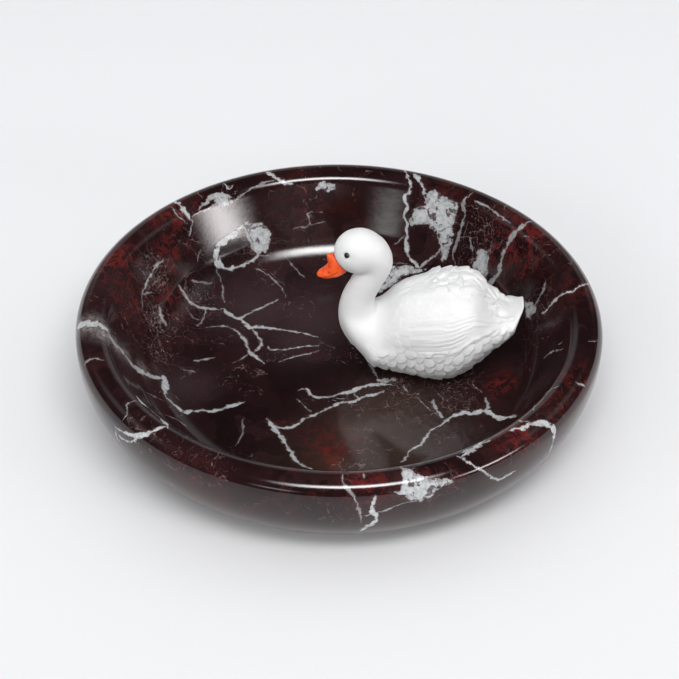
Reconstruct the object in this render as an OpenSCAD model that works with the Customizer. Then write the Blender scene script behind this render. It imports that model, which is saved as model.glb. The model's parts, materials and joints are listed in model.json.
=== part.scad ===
// Ring dish: a turned stone dish with a round rim, and a small cast swan that stands on its floor.
// The foot of the dish lies on the plane z = 0 and its axis is the z axis.
// The swan looks along -x. Its sections are given as shares of its own length, width and height.

/* [Dish] */
// Outside diameter of the dish
dish_d = 127; // [118:1:150]
// Height of the dish from its foot to the top of the rim
dish_h = 26; // [24:0.5:32]
// Thickness of the wall at the round rim
rim_t = 8.6; // [6:0.2:10]
// Thickness of the stone under the floor
floor_t = 4.5; // [3:0.5:6]
// Radius of the cove between the floor and the wall
cove_r = 17; // [10:0.5:18]
// Diameter of the flat face that the dish stands on
foot_d = 93.6; // [86:0.2:98]

/* [Swan place] */
// Middle of the swan to the right of the dish's axis
swan_x = 22.3; // [10:0.1:24]
// Middle of the swan behind the dish's axis
swan_y = 5; // [-6:0.5:8]
// Turn of the swan about its own upright line, in degrees
swan_turn = 0; // [-20:1:20]

/* [Swan body] */
// Length from the breast to the tip of the tail
body_l = 45; // [38:0.5:48]
// Width over the folded wings
body_w = 26; // [22:0.2:28]
// Height from the flat belly to the top of the back
body_h = 25.2; // [22:0.2:28]
// Depth by which the round belly is ground flat
belly_cut = 0.6; // [0.3:0.1:1.2]
// Height by which the folded wings stand out of the body
wing_t = 0.9; // [0.5:0.1:1.4]
// Height by which the tip of a feather covers the next one
feather_t = 0.5; // [0.2:0.05:0.7]
// Length of a feather
feather_l = 4.2; // [3.6:0.2:6]
// Width of a feather
feather_w = 3.8; // [3.4:0.2:6]

/* [Swan neck and head] */
// Height of the middle of the head above the belly
head_z = 35.4; // [33:0.2:40]
// Distance from the breast back to the middle of the head
head_back = 5; // [3:0.2:6]
// Length of the head
head_l = 12.4; // [10.6:0.2:13]
// Width of the head
head_w = 9.6; // [8.4:0.2:11]
// Height of the head
head_h = 12; // [10.6:0.2:13]
// Thickness of the neck where it is thinnest
neck_d = 7.7; // [6.4:0.1:8.6]

/* [Bill and eyes] */
// Length of the bill
bill_l = 6.8; // [4.6:0.1:7.4]
// Width of the bill
bill_w = 4.7; // [3.8:0.1:5.6]
// Height of the bill where it meets the face
bill_h = 5.8; // [4.8:0.1:6.4]
// Forward slope of the bill below the level, in degrees
bill_slope = 36; // [28:1:44]
// Height of the knob over the bill
knob_h = 1.7; // [0.6:0.1:2]
// Diameter of an eye
eye_d = 1.3; // [1:0.1:1.8]
// Depth of the socket that an eye sits in
eye_seat = 0.6; // [0.4:0.1:1]
// Play of an eye in its socket
eye_play = 0.1; // [0.05:0.05:0.2]

/* [Hidden] */
$fn = 96;

dish_r = dish_d / 2;
rim_r = rim_t / 2;
rim_z = dish_h - rim_r;
bowl_r = dish_r - rim_t;
foot_in = dish_r - foot_d / 2;
side_r = (foot_in * foot_in + rim_z * rim_z) / (2 * foot_in);

stone_colour = [0.24, 0.09, 0.10];
swan_colour = [0.94, 0.94, 0.93];
bill_colour = [0.94, 0.29, 0.07];
eye_colour = [0.05, 0.05, 0.05];

// Sections of the body from the breast to the tail. Each one gives its place along the length,
// its lowest and highest point as shares of the height, and its width as a share of the width.
body_sections = [
    [0.00, 0.67, 0.72, 0.045],
    [0.04, 0.465, 0.80, 0.42],
    [0.12, 0.28, 0.76, 0.64],
    [0.21, 0.14, 0.74, 0.74],
    [0.35, 0.05, 0.93, 0.79],
    [0.50, 0.01, 0.995, 0.935],
    [0.61, 0.03, 1.00, 1.00],
    [0.72, 0.155, 0.99, 0.945],
    [0.80, 0.31, 0.82, 0.775],
    [0.88, 0.445, 0.72, 0.59],
    [0.95, 0.60, 0.735, 0.50],
    [1.00, 0.78, 0.84, 0.205]
];

// Rings of points between each section of the body and the next
body_rings = [3, 4, 4, 7, 8, 6, 6, 5, 5, 4, 3];
breast_x = -body_l / 2;
head_x = breast_x + head_back;

// Place t steps along a list of values, on a smooth curve through all of them.
function smooth(list, t) =
    let (
        last = len(list) - 1,
        i = max(0, min(floor(t), last - 1)),
        u = t - i,
        a = list[max(i - 1, 0)],
        b = list[i],
        c = list[i + 1],
        d = list[min(i + 2, last)]
    )
    b + 0.5 * u * (c - a + u * (2 * a - 5 * b + 4 * c - d + u * (3 * (b - c) + d - a)));

function body_section(t) = smooth(body_sections, t);

// Point of the body where its surface lies as much further out as lift says.
function body_point(s, angle, lift) =
    let (
        full_h = body_h + belly_cut,
        middle = full_h * (s[1] + s[2]) / 2,
        half_h = full_h * (s[2] - s[1]) / 2 + lift,
        half_w = (body_w / 2 - wing_t) * s[3] + lift
    )
    [
        breast_x + body_l * s[0],
        half_w * cos(angle),
        max(0, middle + half_h * sin(angle) - belly_cut)
    ];

// Closed skin over rings that have equally many points.
module skin(rings) {
    n = len(rings[0]);
    last = len(rings) - 1;
    polyhedron(
        points = [for (ring = rings) each ring],
        faces = concat(
            [[for (j = [0 : n - 1]) j]],
            [
                for (i = [0 : last - 1]) for (j = [0 : n - 1])
                    [i * n + j, (i + 1) * n + j, (i + 1) * n + (j + 1) % n]
            ],
            [
                for (i = [0 : last - 1]) for (j = [0 : n - 1])
                    [i * n + j, (i + 1) * n + (j + 1) % n, i * n + (j + 1) % n]
            ],
            [[for (j = [n - 1 : -1 : 0]) last * n + j]]
        ),
        convexity = 8
    );
}

module dish_profile() {
    difference() {
        union() {
            intersection() {
                translate([dish_r - side_r, rim_z]) circle(r = side_r);
                square([dish_r, rim_z]);
            }
            square([dish_r - side_r, rim_z]);
            translate([dish_r - rim_r, rim_z]) circle(r = rim_r);
        }
        translate([0, floor_t + cove_r]) square([bowl_r, dish_h]);
        translate([0, floor_t]) square([bowl_r - cove_r, dish_h]);
        translate([bowl_r - cove_r, floor_t + cove_r]) circle(r = cove_r);
    }
}

module dish() {
    color(stone_colour) rotate_extrude($fn = 180) dish_profile();
}

// Neck from inside the head down into the breast: place along x, height and radius.
neck_r = neck_d / 2;
breast_z = body_h * 0.585;
neck_top = [head_x + 2.9, head_z - 6.9, neck_r - 0.1];
neck_foot = [breast_x + 4.9, breast_z + 7.4, neck_r + 0.2];
neck_path = [
    [head_x + 0.3, head_z + 0.6, neck_r + 1],
    [head_x + 2.2, head_z - 0.1, neck_r + 0.9],
    [head_x + 3.6, head_z - 2.2, neck_r + 0.5],
    [head_x + 3.9, head_z - 4.3, neck_r + 0.05],
    neck_top,
    (neck_top + neck_foot) / 2,
    neck_foot,
    [breast_x + 4.5, breast_z + 3.6, neck_r + 0.85],
    [breast_x + 5.3, breast_z, neck_r + 1.6],
    [breast_x + 7.5, breast_z - 2.8, neck_r + 2.2]
];
neck_steps = 24;
neck_sides = 20;

// Ring of the neck at t, square to the way that its middle line runs.
function neck_ring(t) =
    let (
        p = smooth(neck_path, t),
        way = smooth(neck_path, t + 0.02) - smooth(neck_path, t - 0.02),
        size = norm([way[0], way[1]]),
        out = [-way[1], way[0]] / size
    )
    [
        for (j = [0 : neck_sides - 1]) let (angle = 360 * j / neck_sides)
            [
                p[0] + out[0] * p[2] * sin(angle),
                p[2] * cos(angle),
                p[1] + out[1] * p[2] * sin(angle)
            ]
    ];

// Frame of the bill: its seat on the face and the way that it points.
bill_way = [-cos(bill_slope), 0, -sin(bill_slope)];
bill_up = [-sin(bill_slope), 0, cos(bill_slope)];
seat_depth = head_l * 0.455;
seat = [head_x, 0, head_z] + seat_depth * bill_way;

// Sections of the bill from its seat to its tip: way out along the bill as a share of its length,
// lift across the bill, and height and width as shares of the bill's own.
bill_sections = [
    [0.00, 0.00, 1.00, 0.94],
    [0.22, -0.55, 0.86, 1.00],
    [0.45, -0.80, 0.66, 0.98],
    [0.70, -0.55, 0.46, 0.84],
    [0.90, -0.10, 0.28, 0.56],
    [1.00, 0.10, 0.10, 0.22]
];
bill_steps = 22;
bill_sides = 28;

// Rise of the knob over the bill at a share s of the bill's length, round the bill by angle.
knob_place = 1.35;
knob_l = 0.95;
function knob_rise(s, angle) =
    knob_h * exp(-pow((s * bill_l - knob_place) / knob_l, 2)) * pow(max(0, sin(angle)), 6);

function bill_ring(t) =
    let (s = smooth(bill_sections, t))
    [
        for (j = [0 : bill_sides - 1]) let (angle = -360 * j / bill_sides)
            seat + bill_way * bill_l * s[0]
            + bill_up * (s[1] + bill_h / 2 * s[2] * sin(angle) + knob_rise(s[0], angle))
            + [0, bill_w / 2 * s[3] * cos(angle), 0]
    ];

// Place of an eye on the near cheek and the way that it looks.
eye_pitch = 17;
eye_yaw = 39;
eye_way = [-sin(eye_yaw) * cos(eye_pitch), -cos(eye_yaw) * cos(eye_pitch), sin(eye_pitch)];
eye_reach = 1 / norm([eye_way[0] / head_l, eye_way[1] / head_w, eye_way[2] / head_h]) / 2;

module at_swan() {
    translate([swan_x, swan_y, floor_t]) rotate([0, 0, swan_turn]) children();
}

// Folded wings: each is a pillow on the flank, round at the shoulder, with its tip on the rump.
// A point of the body lies at a share s of the length and at a height angle on its section.
wing_front = 0.215;
wing_back = 0.925;
shoulder = 0.24;
shoulder_slope = 0.16;

function wing_share(s) = max(0, min(1, (s - wing_front) / (wing_back - wing_front)));
function wing_low(u) = 2 + 50 * pow(u, 3);
function wing_top(u) = 85 - 24 * pow(u, 6);
function wing_open(u) =
    u < shoulder
        ? sqrt(1 - pow(1 - u / shoulder, 2))
        : 1 - pow((u - shoulder) / (1 - shoulder), 6);

// Soft step from 0 to 1 between two values.
function ease(x, from, to) =
    let (t = max(0, min(1, (x - from) / (to - from))))
    t * t * (3 - 2 * t);

// Height over a row of tiles, each of which rises from under the last one to its own lower edge.
function tile(x) = x - floor(x);

// Feathers of the flank hang in rows under the wing, like tiles. The lower edge of a row is
// scalloped, half a feather aside from the row above, and lies over the row below.
flank_rows = 3;
row_turn = 11;
row_points = [0.12, 0.55, 1];
row_shift = 220;
scallop = 0.3;
function row_edge(m, s) =
    m == 0 ? 0 : scallop * cos(360 * s * body_l / feather_w + row_shift * m);

// Feathers of the wing: short ones end in rows at its front, and long ones sweep to the tail.
blades = 4;
blade_points = 3;
blade_front = 0.5;
blade_back = 0.52;

function wing_lift(s, v) =
    let (
        u = wing_share(s),
        on_wing = u > 0 && u < 1,
        pillow = on_wing ? pow(1 - v * v, 0.3) * ease(u, 0, shoulder_slope) : 0,
        across = (v + 1) / 2 * blades + 0.01,
        row = s * body_l / feather_l + scallop * cos(360 * across),
        short_ones = tile(row) * ease(-s, -blade_back, -blade_front),
        long_ones = pow(tile(across), 0.7) * ease(s, blade_front, blade_back)
    )
    pillow * (wing_t + feather_t * (0.6 * short_ones + long_ones));

// Feathers lie over one another down the middle of the back too, as far as the rump.
function back_lift(s) =
    feather_t * tile(s * body_l / feather_l) * ease(s, 0.38, 0.45) * ease(-s, -0.92, -0.86);

// Points of one side of a section from the belly to the back: height angle, and height over the
// plain body. They follow the edges of the wing and of the rows of feathers.
belly_points = 3;
back_points = 3;
front_open = 0.6;
tip_open = 0.35;

function side_points(s) =
    let (
        u = wing_share(s),
        middle = (wing_low(u) + wing_top(u)) / 2,
        open = (wing_top(u) - wing_low(u)) / 2,
        half = open * max(u < shoulder ? front_open : tip_open, wing_open(u)),
        low = middle - half,
        high = middle + half,
        band = flank_rows * row_turn,
        hang = feather_t * ease(s, 0.1, 0.22) * ease(-s, -0.99, -0.93),
        wing_points = blades * blade_points
    )
    [
        for (k = [0 : belly_points - 1]) [-90 + (low - band + 90) * k / (belly_points + 0.6), 0],
        for (m = [flank_rows - 1 : -1 : 0]) for (k = [len(row_points) - 1 : -1 : 0])
            let (
                f = row_points[k],
                edge = row_edge(m, s) * (1 - f) + row_edge(m + 1, s) * f
            )
            [low - row_turn * (m + f + edge), hang * f],
        for (k = [0 : wing_points - 1])
            let (
                angle = low + (high - low) * k / wing_points,
                v = (angle - middle) / (open * max(0.01, wing_open(u)))
            )
            [angle, abs(v) < 1 ? wing_lift(s, v) : 0],
        for (k = [0 : back_points - 1])
            [high + (90 - high) * k / back_points, back_lift(s) * k / back_points],
        [90, back_lift(s)]
    ];

module body() {
    last = len(body_rings) - 1;
    places = [
        for (i = [0 : last]) for (k = [0 : body_rings[i] - 1]) i + k / body_rings[i],
        last + 1
    ];
    skin([
        for (t = places) let (s = body_section(t), side = side_points(s[0]), top = len(side) - 1)
            [
                for (point = side) body_point(s, point[0], point[1]),
                for (k = [top - 1 : -1 : 1]) body_point(s, 180 - side[k][0], side[k][1])
            ]
    ]);
}

module neck() {
    last = len(neck_path) - 1;
    skin([for (i = [0 : neck_steps]) neck_ring(last * i / neck_steps)]);
}

module head() {
    translate([head_x, 0, head_z]) scale([head_l, head_w, head_h]) sphere(d = 1, $fn = 34);
}

// Block that cuts the face flat where the bill is seated.
block = 8;
module before_seat() {
    translate(seat) rotate([0, -90 - bill_slope, 0])
        translate([-block, -block, 0] / 2) cube([block, block, block / 2]);
}

module eye_socket() {
    translate([head_x, 0, head_z] + eye_way * (eye_reach - eye_seat))
        rotate([0, 0, -90 - eye_yaw]) rotate([0, 90 - eye_pitch, 0])
            cylinder(d = eye_d + eye_play, h = 2, $fn = 32);
}

module swan() {
    color(swan_colour) at_swan() difference() {
        union() {
            body();
            neck();
            head();
        }
        before_seat();
        eye_socket();
        mirror([0, 1, 0]) eye_socket();
    }
}

module bill() {
    last = len(bill_sections) - 1;
    color(bill_colour) at_swan()
        skin([for (i = [0 : bill_steps]) bill_ring(last * i / bill_steps)]);
}

// Round bead that sits in its socket and stands out of it as a dome.
dome_h = eye_d * 0.28;
dome_r = (eye_d * eye_d / 4 + dome_h * dome_h) / (2 * dome_h);

module eye() {
    translate([head_x, 0, head_z] + eye_way * (eye_reach - eye_seat))
        rotate([0, 0, -90 - eye_yaw]) rotate([0, 90 - eye_pitch, 0])
            rotate_extrude($fn = 32) {
                square([eye_d / 2, eye_seat]);
                translate([0, eye_seat]) intersection() {
                    translate([0, dome_h - dome_r]) circle(r = dome_r);
                    square([eye_d / 2, dome_h]);
                }
            }
}

module left_eye() {
    color(eye_colour) at_swan() eye();
}

module right_eye() {
    color(eye_colour) at_swan() mirror([0, 1, 0]) eye();
}

dish();
swan();
bill();
left_eye();
right_eye();
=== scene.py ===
# %% [markdown]
# A ring dish turned from one block of dark red marble, with a small white swan lying in it.
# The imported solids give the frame: where the dish stands and where the swan rests. Everything
# below is built in that frame, in metres, so no piece needs fitting afterwards.

# %% Load the fixed frame
import json
import math
import bpy
import numpy as np
from mathutils import Matrix, Vector

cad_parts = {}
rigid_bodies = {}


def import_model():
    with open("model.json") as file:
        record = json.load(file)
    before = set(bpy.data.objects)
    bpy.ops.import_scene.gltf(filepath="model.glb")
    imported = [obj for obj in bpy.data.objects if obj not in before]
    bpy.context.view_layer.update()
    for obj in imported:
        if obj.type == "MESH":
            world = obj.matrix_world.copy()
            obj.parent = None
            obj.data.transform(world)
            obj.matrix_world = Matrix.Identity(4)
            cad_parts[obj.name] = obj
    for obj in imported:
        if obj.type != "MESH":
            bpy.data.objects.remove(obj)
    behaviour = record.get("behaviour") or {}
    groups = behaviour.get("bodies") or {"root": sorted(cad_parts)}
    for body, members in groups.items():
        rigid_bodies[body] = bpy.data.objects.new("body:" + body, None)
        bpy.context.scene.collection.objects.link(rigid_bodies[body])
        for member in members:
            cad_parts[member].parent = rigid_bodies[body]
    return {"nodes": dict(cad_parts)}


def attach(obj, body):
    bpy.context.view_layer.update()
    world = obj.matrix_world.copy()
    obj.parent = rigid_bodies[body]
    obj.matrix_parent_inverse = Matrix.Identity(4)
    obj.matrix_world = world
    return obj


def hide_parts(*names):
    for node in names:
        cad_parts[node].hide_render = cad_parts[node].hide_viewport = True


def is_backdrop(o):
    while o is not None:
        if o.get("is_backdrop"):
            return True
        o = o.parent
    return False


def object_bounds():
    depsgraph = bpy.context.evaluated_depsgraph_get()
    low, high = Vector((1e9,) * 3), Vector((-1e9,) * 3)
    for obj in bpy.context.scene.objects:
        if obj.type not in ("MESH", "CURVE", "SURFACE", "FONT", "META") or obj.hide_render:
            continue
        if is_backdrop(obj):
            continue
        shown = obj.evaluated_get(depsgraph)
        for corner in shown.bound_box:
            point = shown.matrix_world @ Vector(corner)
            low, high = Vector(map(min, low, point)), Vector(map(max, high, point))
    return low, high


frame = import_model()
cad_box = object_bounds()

MM = 0.001


def say(*words):
    print("lesson:", *words)


say("solids span", [round(v / MM, 1) for corner in cad_box for v in corner], "mm")

# %% [markdown]
# The camera comes first, because every later choice is judged through it. The picture looks
# down at about 40 degrees from 0.6 m with a long lens, which keeps the dish's rim an even
# ellipse. It could be placed with a Track To constraint; here its matrix is built from the
# viewing angle, and three small turns bring the dish to its place in the frame.

# %% Camera
PICTURE = 679                       # picture width and height in pixels
FOCAL_PIXELS = 2424.0               # focal length measured in picture pixels
camera_height_angle = math.radians(40.47)
camera_distance = 0.600

camera_data = bpy.data.cameras.new("camera")
camera_data.sensor_width = 36.0
camera_data.lens = camera_data.sensor_width * FOCAL_PIXELS / PICTURE
camera_data.clip_end = 20.0
camera = bpy.data.objects.new("camera", camera_data)
bpy.context.scene.collection.objects.link(camera)
bpy.context.scene.camera = camera
place = Vector((0.0, -camera_distance * math.cos(camera_height_angle),
                camera_distance * math.sin(camera_height_angle)))
look = (-place).to_track_quat("-Z", "Y").to_matrix().to_4x4()
nudge = (Matrix.Rotation(0.0215, 4, "X") @ Matrix.Rotation(-0.0002, 4, "Y")
         @ Matrix.Rotation(math.radians(0.345), 4, "Z"))
camera.matrix_world = Matrix.Translation(place) @ look @ nudge
say("lens", round(camera_data.lens, 1), "mm")

# %% [markdown]
# Two helpers are used all the way through. One drops every selection, because an operator
# acts on all that is selected and the loaded solids arrive selected. The other opens a piece
# in edit mode.

# %% Helpers for selecting


def deselect_all():
    if bpy.context.object and bpy.context.object.mode != "OBJECT":
        bpy.ops.object.mode_set(mode="OBJECT")
    bpy.ops.object.select_all(action="DESELECT")


def work_on(obj):
    deselect_all()
    obj.select_set(True)
    bpy.context.view_layer.objects.active = obj


def edit(obj, kind="VERT"):
    work_on(obj)
    bpy.ops.object.mode_set(mode="EDIT")
    bpy.ops.mesh.select_mode(type=kind)
    bpy.ops.mesh.select_all(action="SELECT")


def close_edit():
    bpy.ops.object.mode_set(mode="OBJECT")


def positions(mesh):
    flat = np.empty(len(mesh.vertices) * 3)
    mesh.vertices.foreach_get("co", flat)
    return flat.reshape(-1, 3)


def normals(mesh):
    flat = np.empty(len(mesh.vertices) * 3)
    mesh.vertex_normals.foreach_get("vector", flat)
    return flat.reshape(-1, 3)


def set_positions(mesh, points):
    mesh.vertices.foreach_set("co", points.ravel())
    mesh.update()


# %% [markdown]
# The floor is one plain pale plane. The picture looks down so steeply that the floor fills the
# whole background, so no separate backdrop is needed and the soft shadow lands on it.

# %% Floor
deselect_all()
bpy.ops.mesh.primitive_grid_add(x_subdivisions=12, y_subdivisions=12, size=6.0)
floor = bpy.context.object
floor.name = "floor"
floor_material = bpy.data.materials.new("pale_floor")
floor_material.use_nodes = True
tree = floor_material.node_tree
paint = tree.nodes["Principled BSDF"]
paint.inputs["Roughness"].default_value = 0.9
paint.inputs["Specular IOR Level"].default_value = 0.1
where = tree.nodes.new("ShaderNodeTexCoord")
cloud = tree.nodes.new("ShaderNodeTexNoise")
cloud.inputs["Scale"].default_value = 2.0
tint = tree.nodes.new("ShaderNodeValToRGB")
tint.color_ramp.elements[0].color = (0.875, 0.880, 0.892, 1)
tint.color_ramp.elements[1].color = (0.905, 0.908, 0.915, 1)
tree.links.new(where.outputs["Object"], cloud.inputs["Vector"])
tree.links.new(cloud.outputs["Fac"], tint.inputs["Fac"])
depth_axis = tree.nodes.new("ShaderNodeSeparateXYZ")
tree.links.new(where.outputs["Object"], depth_axis.inputs[0])
# painted shade: the floor's colour darkens towards the front, evening out the stronger lamp light there
front_painted_shade = tree.nodes.new("ShaderNodeMapRange")          # a little darker where the lamps stand closer
front_painted_shade.inputs["From Min"].default_value = -0.20
front_painted_shade.inputs["From Max"].default_value = 0.06
front_painted_shade.inputs["To Min"].default_value = 0.84
tree.links.new(depth_axis.outputs["Y"], front_painted_shade.inputs["Value"])
toned = tree.nodes.new("ShaderNodeVectorMath")
toned.operation = "SCALE"
tree.links.new(tint.outputs["Color"], toned.inputs[0])
tree.links.new(front_painted_shade.outputs["Result"], toned.inputs["Scale"])
tree.links.new(toned.outputs["Vector"], paint.inputs["Base Color"])
floor.data.materials.append(floor_material)
floor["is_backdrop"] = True

# %% [markdown]
# Polished dark stone shows the lamps as much as its own colour. A long box high above the
# camera draws the bright line along the rim and the streak in the cove. Low panels at the
# front and the right lay the dull glows on the far wall, and a dim card behind shows on top of
# the lip, and dimmer ones at the sides on its shoulders. They all fade towards their borders, as
# real soft boxes do. Two more lamps light only the matt surfaces and are hidden from the
# polish, so they leave no mark on the stone; the streak does the opposite.

# %% Lamps
world = bpy.data.worlds.new("studio")
bpy.context.scene.world = world
world.use_nodes = True
tree = world.node_tree
sky = tree.nodes["Background"]
sky.inputs["Color"].default_value = (0.95, 0.97, 1.0, 1)
ray = tree.nodes.new("ShaderNodeLightPath")
in_polish = tree.nodes.new("ShaderNodeMapRange")       # the room is dimmer where the polish shows it
in_polish.inputs["To Min"].default_value = 0.33
in_polish.inputs["To Max"].default_value = 0.035
seen = tree.nodes.new("ShaderNodeMath")                # and pale where the camera looks past the floor
seen.operation = "MAXIMUM"
tree.links.new(ray.outputs["Is Glossy Ray"], in_polish.inputs["Value"])
tree.links.new(in_polish.outputs["Result"], seen.inputs[0])
tree.links.new(ray.outputs["Is Camera Ray"], seen.inputs[1])
tree.links.new(seen.outputs["Value"], sky.inputs["Strength"])


def lamp(name, turn, height, distance, width, tall, radiance, edge=0.0, in_polish=True, in_matt=True,
         colour=(1, 1, 1)):
    """A soft box seen from the dish at that compass turn (0 is the camera's side, 90 the right) and height.

    With an edge it fades towards its border, over that share of its size, so the polish shows no hard outline."""
    data = bpy.data.lights.new(name, "AREA")
    data.shape = "RECTANGLE"
    data.size = width
    data.size_y = tall
    data.energy = radiance * width * tall * math.pi
    data.color = colour
    if edge:
        data.use_nodes = True
        nodes, links = data.node_tree.nodes, data.node_tree.links
        split = nodes.new("ShaderNodeSeparateXYZ")
        links.new(nodes.new("ShaderNodeNewGeometry").outputs["Parametric"], split.inputs[0])
        glow = nodes.new("ShaderNodeMath")
        glow.operation = "MULTIPLY"
        for side in (0, 1):
            border = nodes.new("ShaderNodeMath")            # 0 in the middle, 0.5 at the border
            border.operation = "SUBTRACT"
            border.inputs[1].default_value = 0.5
            links.new(split.outputs[side], border.inputs[0])
            away = nodes.new("ShaderNodeMath")
            away.operation = "ABSOLUTE"
            links.new(border.outputs[0], away.inputs[0])
            fade = nodes.new("ShaderNodeMapRange")
            fade.interpolation_type = "SMOOTHSTEP"
            fade.inputs["From Min"].default_value = 0.5
            fade.inputs["From Max"].default_value = 0.5 - edge
            links.new(away.outputs[0], fade.inputs["Value"])
            links.new(fade.outputs["Result"], glow.inputs[side])
        links.new(glow.outputs[0], nodes["Emission"].inputs["Strength"])
    obj = bpy.data.objects.new(name, data)
    bpy.context.scene.collection.objects.link(obj)
    t, h = math.radians(turn), math.radians(height)
    spot = distance * Vector((math.sin(t) * math.cos(h), -math.cos(t) * math.cos(h), math.sin(h)))
    obj.matrix_world = Matrix.Translation(spot) @ spot.to_track_quat("Z", "Y").to_matrix().to_4x4()
    obj.visible_glossy = in_polish
    obj.visible_diffuse = in_matt
    return obj


lamp("long_box", 10, 58, 1.2, 1.30, 0.44, 10.5, edge=0.35)
lamp("streak", 10, 56, 1.2, 1.25, 0.40, 16.0, edge=0.45, in_matt=False)
lamp("right_panel", 59, 15, 1.3, 0.84, 0.23, 20.0, edge=0.47, colour=(1.0, 0.95, 0.96))
lamp("front_panel", -24, 18, 1.3, 0.52, 0.22, 4.5, edge=0.47)
lamp("back_card", 180, 15, 1.8, 3.0, 1.05, 0.40, edge=0.30)
lamp("left_card", -100, 35, 1.5, 1.6, 0.8, 0.55, edge=0.45)
lamp("right_card", 105, 38, 1.5, 1.4, 0.7, 0.50, edge=0.45)
lamp("overhead", 165, 80, 1.6, 1.6, 1.6, 0.50, in_polish=False)
lamp("front_fill", -38, 24, 1.5, 1.7, 0.7, 2.2, in_polish=False)

# %% [markdown]
# The dish is a turned piece: one outline carried round a centre. A lathe would cut it, and
# Spin does the same. The outline starts as one point at the middle of the foot and walks up
# the belly, over the round lip, down the leaning wall and the cove and in along the floor, by
# extruding that point along the straight stretches and spinning it round the arcs.

# %% Outline of the dish, in millimetres
outer_r = 63.5          # widest, at the middle of the lip
lip_r = 4.3             # the lip is nearly half a circle
lip_z = 21.7            # height of its middle
floor_z = 4.5
cove_r = 15.5
lean = math.radians(28)  # the inner wall leans out by this much
foot_r = 46.8
belly_r = 22.4485       # the belly is tangent to the lip
belly_turn = math.atan2(lip_z, foot_r - (outer_r - belly_r))

# the straight wall is tangent to the lip above it and to the cove below it
wall_top_r = outer_r - lip_r * (1 + math.cos(lean))
wall_top_z = lip_z + lip_r * math.sin(lean)
flat_r = wall_top_r + ((floor_z + cove_r - wall_top_z) * math.sin(lean) - cove_r) / math.cos(lean)
wall_foot_r = flat_r + cove_r * math.cos(lean)
wall_foot_z = floor_z + cove_r * (1 - math.sin(lean))
wall = math.hypot(wall_top_r - wall_foot_r, wall_top_z - wall_foot_z)

# lengths along the outline, from the middle of the floor outwards
floor_end = flat_r
cove_end = floor_end + cove_r * (math.pi / 2 - lean)
wall_end = cove_end + wall
lip_end = wall_end + lip_r * (math.pi - lean)
belly_end = lip_end + belly_r * belly_turn


def on_dish(clock, path):
    """The point of the dish at that clock angle in degrees, at that length along the outline."""
    if path < floor_end:
        r, z = path, floor_z
    elif path < cove_end:
        a = (path - floor_end) / cove_r
        r, z = flat_r + cove_r * math.sin(a), floor_z + cove_r - cove_r * math.cos(a)
    elif path < wall_end:
        a = path - cove_end
        r, z = wall_foot_r + a * math.sin(lean), wall_foot_z + a * math.cos(lean)
    elif path < lip_end:
        a = lean + (path - wall_end) / lip_r
        r, z = outer_r - lip_r - lip_r * math.cos(a), lip_z + lip_r * math.sin(a)
    else:
        a = (path - lip_end) / belly_r
        r, z = outer_r - belly_r + belly_r * math.cos(a), lip_z - belly_r * math.sin(a)
    a = math.radians(clock)
    return (r * math.cos(a), r * math.sin(a), z)


say("outline runs", round(belly_end, 1), "mm from the floor's middle to the foot")

# %% Turn the dish
SPIN_STEPS = 560
deselect_all()
bpy.ops.mesh.primitive_plane_add(size=0.001)
dish = bpy.context.object
dish.name = "marble_dish"
edit(dish)
bpy.ops.mesh.merge(type="CENTER")


def walk(dx, dz, steps=1):
    for _ in range(steps):
        bpy.ops.mesh.extrude_region_move(
            TRANSFORM_OT_translate={"value": (dx * MM / steps, 0, dz * MM / steps)})


def turn_arc(centre_x, centre_z, degrees, steps):
    bpy.ops.mesh.spin(steps=steps, angle=math.radians(degrees), axis=(0, -1, 0),
                      center=(centre_x * MM, 0, centre_z * MM))


walk(foot_r, 0, 4)
turn_arc(outer_r - belly_r, lip_z, -math.degrees(belly_turn), 38)
turn_arc(outer_r - lip_r, lip_z, math.degrees(lean) - 180, 24)
walk(wall_foot_r - wall_top_r, wall_foot_z - wall_top_z, 20)
turn_arc(flat_r, floor_z + cove_r, 90 - math.degrees(lean), 28)
walk(-flat_r, 0, 52)
bpy.ops.mesh.select_all(action="SELECT")
bpy.ops.mesh.spin(steps=SPIN_STEPS, angle=2 * math.pi, axis=(0, 0, 1), center=(0, 0, 0))
bpy.ops.mesh.select_all(action="SELECT")
bpy.ops.mesh.remove_doubles(threshold=0.02 * MM)
bpy.ops.mesh.normals_make_consistent(inside=False)
close_edit()
bpy.ops.object.shade_smooth()
dish_points = positions(dish.data) / MM
dish_normals = normals(dish.data)
say("dish has", len(dish.data.polygons), "faces, spans",
    np.round(dish_points.min(0), 2), np.round(dish_points.max(0), 2))
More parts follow.
